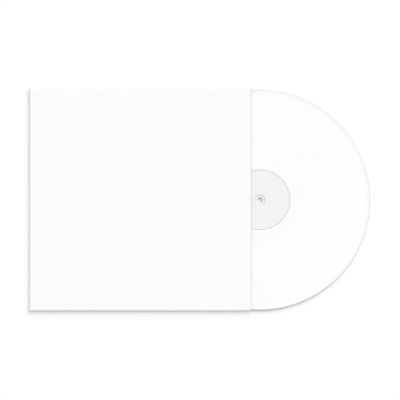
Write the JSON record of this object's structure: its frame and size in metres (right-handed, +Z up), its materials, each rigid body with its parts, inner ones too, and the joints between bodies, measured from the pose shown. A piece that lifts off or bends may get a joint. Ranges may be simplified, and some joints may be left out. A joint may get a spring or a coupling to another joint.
{
  "type": "vinyl record in card sleeve",
  "caption": "12-inch vinyl record for a turntable, with plain labels, lying half out of its plain square card sleeve.",
  "frame": {"origin": "middle of the footprint, on the surface that the sleeve lies on", "axes": "+X from the sleeve's spine to its mouth, the way the disc is drawn out; +Y along the spine, up the picture; +Z up, out of the front cover"},
  "size_m": [0.4664, 0.306, 0.0048],
  "materials": {
    "sleeve_card": "matt uncoated white card with a faint paper grain",
    "white_vinyl": "smooth opaque white vinyl, finely grooved",
    "label_paper": "matt light grey paper"
  },
  "bodies": {
    "root": {"jacket": "sleeve_card", "record_disc": "white_vinyl", "label_side_a": "label_paper", "label_side_b": "label_paper"}
  },
  "joints": []
}
